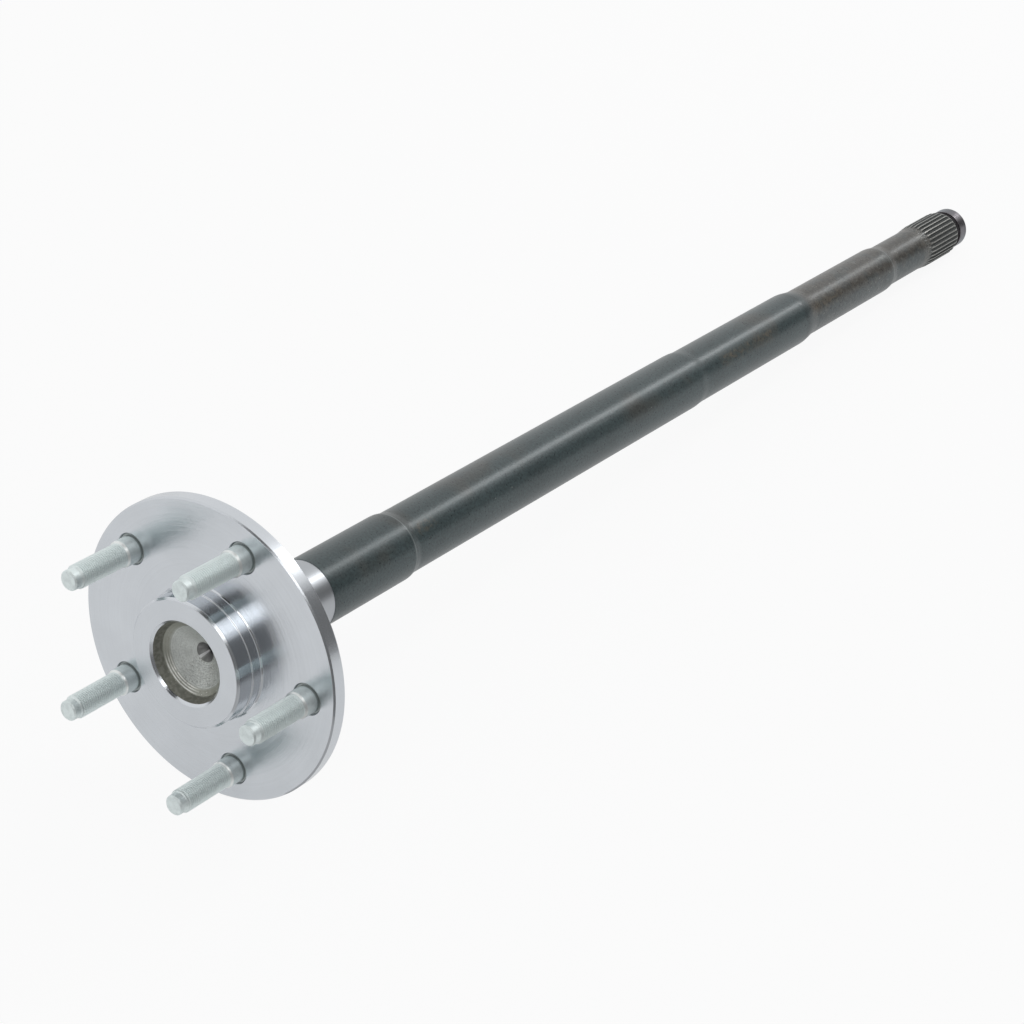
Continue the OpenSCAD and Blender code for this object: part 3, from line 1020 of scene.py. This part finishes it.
def stud_rows(flange, studs):
    """Rows of one stud's outline, point first, with close rows where the thread is cut."""
    thread_r, shoulder_r = studs.thread_d / 2, studs.shoulder_d / 2
    knurl_r, head_r, point_r = studs.knurl_d / 2, studs.head_d / 2, studs.point_d / 2
    soft, tip, back = studs.edge_round, -studs.stud_h, flange.flange_t
    thread_from = studs.point_h + tip + thread_r - point_r
    thread_to = -studs.shoulder_h - (shoulder_r - thread_r)
    count = math.ceil((thread_to - thread_from) / studs.thread_pitch * THREAD_ROWS)
    thread = [thread_from + (thread_to - thread_from) * i / count for i in range(count + 1)]
    return rounded(stretch(
        "zinc",
        (tip, 0),
        (tip, point_r - studs.point_bevel, soft),
        (tip + studs.point_bevel, point_r, 2 * soft),
        (tip + studs.point_h, point_r, soft),
        *((station, thread_r) for station in thread),
        (-studs.shoulder_h, shoulder_r, 2 * soft),
        (studs.knurl_sink, shoulder_r, soft),
        (studs.knurl_sink, knurl_r, soft),
        (back, knurl_r),
        (back, head_r, soft),
        (back + studs.head_t, head_r, 4 * soft),
        (back + studs.head_t, 0),
    ))


STUD_INPUTS = (
    ("Stud count", "NodeSocketInt"),
    ("Circle radius", "NodeSocketFloat"),
    ("First turn", "NodeSocketFloat"),
    ("Thread from", "NodeSocketFloat"),
    ("Thread to", "NodeSocketFloat"),
    ("Thread pitch", "NodeSocketFloat"),
    ("Thread depth", "NodeSocketFloat"),
    ("Run-out", "NodeSocketFloat"),
    ("Finish", "NodeSocketMaterial"),
)


def stud_tree():
    """Geometry nodes that cut the thread on one stud and set studs round the circle."""
    tree = bpy.data.node_groups.new("wheel_studs", "GeometryNodeTree")
    tree.interface.new_socket("Geometry", in_out="INPUT", socket_type="NodeSocketGeometry")
    for name, kind in STUD_INPUTS:
        tree.interface.new_socket(name, in_out="INPUT", socket_type=kind)
    tree.interface.new_socket("Geometry", in_out="OUTPUT", socket_type="NodeSocketGeometry")
    given = add_node(tree, "NodeGroupInput")
    place = add_node(tree, "GeometryNodeInputPosition")
    parts = add_node(tree, "ShaderNodeSeparateXYZ", sockets={"Vector": place})
    x, y, station = parts, parts.out("Y"), parts.out("Z")
    start, end, runout = given.out("Thread from"), given.out("Thread to"), given.out("Run-out")
    fade = ((station - start) / runout).clamped() * ((end - station) / runout).clamped()
    phase = station / given.out("Thread pitch") + y.math("ARCTAN2", x) / (2 * math.pi)
    root = (0.5 - (phase * (2 * math.pi)).math("COSINE") * THREAD_SHARPNESS).clamped() * fade
    across = add_node(tree, "ShaderNodeCombineXYZ", sockets={"X": x, "Y": y})
    outward = add_node(tree, "ShaderNodeVectorMath", {"operation": "NORMALIZE"}, {0: across})
    depth = root * given.out("Thread depth") * -1.0
    inward = add_node(tree, "ShaderNodeVectorMath", {"operation": "SCALE"}, {0: outward, "Scale": depth})
    marked = add_node(
        tree,
        "GeometryNodeStoreNamedAttribute",
        {"data_type": "FLOAT", "domain": "POINT"},
        {"Geometry": given.out("Geometry"), "Name": "thread_root", "Value": root},
    )
    stud = add_node(tree, "GeometryNodeSetPosition", sockets={"Geometry": marked, "Offset": inward})
    circle = add_node(
        tree,
        "GeometryNodeMeshCircle",
        {"fill_type": "NONE"},
        {"Vertices": given.out("Stud count"), "Radius": given.out("Circle radius")},
    )
    around = add_node(tree, "ShaderNodeCombineXYZ", sockets={"Z": given.out("First turn")})
    turned = add_node(tree, "GeometryNodeTransform", sockets={"Geometry": circle, "Rotation": around})
    index = add_node(tree, "GeometryNodeInputIndex")
    own_turn = add_node(tree, "ShaderNodeCombineXYZ", sockets={"Z": index * STUD_OWN_TURN})
    sockets = {"Points": turned, "Instance": stud, "Rotation": own_turn}
    placed = add_node(tree, "GeometryNodeInstanceOnPoints", sockets=sockets)
    real = add_node(tree, "GeometryNodeRealizeInstances", sockets={"Geometry": placed})
    sockets = {"Geometry": real, "Material": given.out("Finish")}
    finished = add_node(tree, "GeometryNodeSetMaterial", sockets=sockets)
    add_node(tree, "NodeGroupOutput", sockets={"Geometry": finished})
    return tree


class AXLE_OT_studs(Operator):
    """Make the wheel studs: one turned stud, threaded and set round the circle by geometry nodes"""

    bl_idname = "axle.make_studs"
    bl_label = "Wheel studs"

    def execute(self, context):
        flange, studs = context.scene.axle_flange, context.scene.axle_studs
        finish = zinc_plating(context.scene.axle_finish, studs)
        mesh = turned_mesh("studs", stud_rows(flange, studs), even_angles(STUD_COLUMNS), {"zinc": finish})
        piece = new_object("studs", mesh)
        tree = stud_tree()
        values = {
            "Stud count": studs.count,
            "Circle radius": studs.circle_d / 2,
            "First turn": studs.first_turn,
            "Thread from": studs.point_h - studs.stud_h,
            "Thread to": -studs.shoulder_h - THREAD_STOP,
            "Thread pitch": studs.thread_pitch,
            "Thread depth": studs.thread_depth,
            "Run-out": studs.thread_runout,
            "Finish": finish,
        }
        setter = piece.modifiers.new("wheel studs", "NODES")
        setter.node_group = tree
        for item in tree.interface.items_tree:
            if item.in_out == "INPUT" and item.name in values:
                setter[item.identifier] = values[item.name]
        settle(piece)
        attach(piece, "root")
        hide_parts("wheel_studs")
        return {"FINISHED"}


# The stage, in metres in the part's frame

SOFTBOX_MIDDLE = Vector((0.53, 1.85, 1.5))
SOFTBOX_LINE = Vector((-0.15, 1, 0))
SOFTBOX_WIDTH = 0.36
FRONT_MIDDLE = Vector((0.68, -1.55, 1.28))
FRONT_LINE = Vector((1, 0, 0))
FRONT_SIZE = (0.5, 0.6)
CARD_NEAR, CARD_FAR = -4.4, 14.0
SIDE_X, SIDE_TOP = 1.36, 1.3
SHADE_START, SHADE_END = 0.045, 0.15
BACK_START = 0.6
ABOVE_FLOOR = 0.002
FRONT_CARD = (0.38, -0.52, 0.5, 2.5)
FRONT_CARD_Y = -1.6
WHITE = (1, 1, 1, 1)
DAYLIGHT = (0.97, 0.985, 1.0, 1)
FLOOR_GRAIN = (0.8, 0.8, 0.8)
SENSOR_WIDTH = 36.0
CLIP_START, CLIP_END = 0.05, 100.0


def bare_tree(owner):
    """The emptied node tree of a new material or world."""
    owner.use_nodes = True
    owner.node_tree.nodes.clear()
    return owner.node_tree


def background_ray(tree, seen, mirrored):
    """Share of plain white in the background, as the camera sees it and as metal or glass mirrors it."""
    path = add_node(tree, "ShaderNodeLightPath", output="Is Camera Ray")
    by_way = (path.out("Is Glossy Ray") + path.out("Is Transmission Ray")).clamped()
    return (path * seen + by_way * mirrored).clamped()


def floor_finish(stage):
    """A pale matt floor that reads as plain white and keeps the shadow of what lies on it."""
    material = bpy.data.materials.new("floor")
    tree = bare_tree(material)
    place = add_node(tree, "ShaderNodeTexCoord", output="Object")
    grain = add_node(tree, "ShaderNodeTexNoise", sockets={"Vector": place, "Scale": 40.0, "Detail": 2.0})
    paint = mix(grain * 0.03, (stage.floor_albedo,) * 3, FLOOR_GRAIN)
    matt = add_node(tree, "ShaderNodeBsdfDiffuse", sockets={"Color": paint})
    white = add_node(tree, "ShaderNodeEmission", sockets={"Color": WHITE, "Strength": 1.0})
    shown = background_ray(tree, stage.floor_white, stage.floor_mirrored)
    seen = add_node(tree, "ShaderNodeMixShader", sockets={0: shown, 1: matt, 2: white})
    add_node(tree, "ShaderNodeOutputMaterial", sockets={"Surface": seen})
    return material


def plain_finish(name, tone):
    """An evenly glowing finish for a card that only shows in reflections."""
    material = bpy.data.materials.new(name)
    tree = bare_tree(material)
    glow = add_node(tree, "ShaderNodeEmission", sockets={"Color": (tone, tone, tone, 1), "Strength": 1.0})
    add_node(tree, "ShaderNodeOutputMaterial", sockets={"Surface": glow})
    return material


def rectangle(start, end, low, high):
    """Four corners, each in two coordinates."""
    return [(start, low), (end, low), (end, high), (start, high)]


def quad(name, corners, material):
    """A flat four-cornered object on the stage."""
    mesh = bpy.data.meshes.new(name)
    mesh.from_pydata(corners, [], [(0, 1, 2, 3)])
    mesh.materials.append(material)
    made = new_object(name, mesh)
    return made


class AXLE_OT_stage(Operator):
    """Set up the floor, the light and the camera"""

    bl_idname = "axle.make_stage"
    bl_label = "Studio"

    def execute(self, context):
        stage = context.scene.axle_stage
        half = stage.floor_half
        quad("floor", [(x, y, 0) for x, y in rectangle(-half, half, -half, half)], floor_finish(stage))
        self.make_world(context.scene, stage)
        self.make_lamps(stage)
        self.make_cards(stage)
        self.make_camera(context.scene, stage)
        context.scene.view_settings.view_transform = "Standard"
        return {"FINISHED"}

    def make_world(self, scene, stage):
        """Plain light from all round, in a room that reads as white."""
        scene.world = bpy.data.worlds.new("studio")
        tree = bare_tree(scene.world)
        light = add_node(tree, "ShaderNodeBackground", sockets={"Color": DAYLIGHT, "Strength": stage.ambient})
        white = add_node(tree, "ShaderNodeBackground", sockets={"Color": WHITE, "Strength": 1.0})
        shown = background_ray(tree, 1.0, stage.room_mirrored)
        seen = add_node(tree, "ShaderNodeMixShader", sockets={0: shown, 1: light, 2: white})
        add_node(tree, "ShaderNodeOutputWorld", sockets={"Surface": seen})

    def make_lamps(self, stage):
        """Three softboxes in a row behind the axle, and one in front."""
        for name, shift, reach, glow in (
            ("rim_softbox", -1.09, 0.52, stage.rim_radiance),
            ("back_softbox", -0.415, 0.83, stage.back_radiance),
            ("far_softbox", 0.65, 1.3, stage.far_radiance),
        ):
            middle = SOFTBOX_MIDDLE + SOFTBOX_LINE * shift
            self.make_softbox(name, middle, SOFTBOX_LINE, SOFTBOX_WIDTH, reach, glow)
        self.make_softbox("front_softbox", FRONT_MIDDLE, FRONT_LINE, *FRONT_SIZE, stage.front_radiance)

    def make_softbox(self, name, middle, along, width, reach, glow):
        """A softbox whose long side lies along a direction, and which faces the shaft square to that."""
        lamp = bpy.data.lights.new(name, "AREA")
        lamp.shape = "RECTANGLE"
        lamp.size, lamp.size_y = width, reach
        lamp.energy = glow * math.pi * width * reach
        made = new_object(name, lamp)
        along = along.normalized()
        back = (middle - along * middle.dot(along)).normalized()
        turned = Matrix((along.cross(back), along, back)).transposed().to_4x4()
        made.matrix_world = Matrix.Translation(middle) @ turned
        made.visible_camera = False

    def make_cards(self, stage):
        """Dark cards for the metal to mirror: along one side, on the floor, and up in front."""
        side = [(SIDE_X, y, z) for y, z in rectangle(CARD_NEAR, CARD_FAR, 0, SIDE_TOP)]
        self.make_card("dark_side", side, stage.side_dark)
        flange_y = AXLE_FRAME.to_translation().y
        for name, tone, sides in (
            ("shade_floor", stage.shade, (SHADE_START, SHADE_END, CARD_NEAR, flange_y)),
            ("front_floor", stage.side_dark, (SHADE_END, SIDE_X, CARD_NEAR, flange_y)),
            ("back_floor", stage.side_dark, (BACK_START, SIDE_X, flange_y, CARD_FAR)),
        ):
            self.make_card(name, [(x, y, ABOVE_FLOOR) for x, y in rectangle(*sides)], tone)
        front = [(x, FRONT_CARD_Y, z) for x, z in rectangle(*FRONT_CARD)]
        self.make_card("dark_front", front, stage.front_dark)

    def make_card(self, name, corners, tone):
        """A card that shows in reflections only."""
        card = quad(name, corners, plain_finish(name, tone))
        card.visible_camera = False
        card.visible_diffuse = False
        card.visible_shadow = False

    def make_camera(self, scene, stage):
        """The camera, placed by where the wheel face stands in its view."""
        data = bpy.data.cameras.new("camera")
        data.lens = stage.lens
        data.sensor_width = SENSOR_WIDTH
        data.clip_start, data.clip_end = CLIP_START, CLIP_END
        camera = new_object("camera", data)
        azimuth, elevation = stage.azimuth, stage.elevation
        level = math.cos(elevation)
        right = Vector((math.cos(azimuth), math.sin(azimuth), 0))
        ahead = Vector((-math.sin(azimuth) * level, math.cos(azimuth) * level, -math.sin(elevation)))
        up = right.cross(ahead)
        turned = Matrix((right, up, -ahead)).transposed().to_4x4()
        offset = right * stage.face_right - up * stage.face_down + ahead * stage.face_depth
        camera.matrix_world = Matrix.Translation(AXLE_FRAME.to_translation() - offset) @ turned
        scene.camera = camera


class AXLE_PT_panel(Panel):
    """The axle's pieces and the studio, in the sidebar"""

    bl_idname = "AXLE_PT_panel"
    bl_label = "Axle shaft"
    bl_space_type = "VIEW_3D"
    bl_region_type = "UI"
    bl_category = "Axle"

    def draw(self, context):
        column = self.layout.column(align=True)
        for operator in OPERATORS:
            column.operator(operator.bl_idname)


OPERATORS = (AXLE_OT_axle, AXLE_OT_studs, AXLE_OT_stage)
SETTINGS = {
    "axle_flange": AXLE_PG_flange,
    "axle_shaft": AXLE_PG_shaft,
    "axle_studs": AXLE_PG_studs,
    "axle_finish": AXLE_PG_finish,
    "axle_stage": AXLE_PG_stage,
}


def register():
    for group in SETTINGS.values():
        bpy.utils.register_class(group)
    for name, group in SETTINGS.items():
        setattr(bpy.types.Scene, name, PointerProperty(type=group))
    for made in (*OPERATORS, AXLE_PT_panel):
        bpy.utils.register_class(made)


def unregister():
    for made in (AXLE_PT_panel, *reversed(OPERATORS)):
        bpy.utils.unregister_class(made)
    for name, group in reversed(SETTINGS.items()):
        delattr(bpy.types.Scene, name)
        bpy.utils.unregister_class(group)


def main():
    register()
    bpy.ops.axle.make_axle()
    bpy.ops.axle.make_studs()
    bpy.ops.axle.make_stage()


if __name__ == "__main__":
    main()
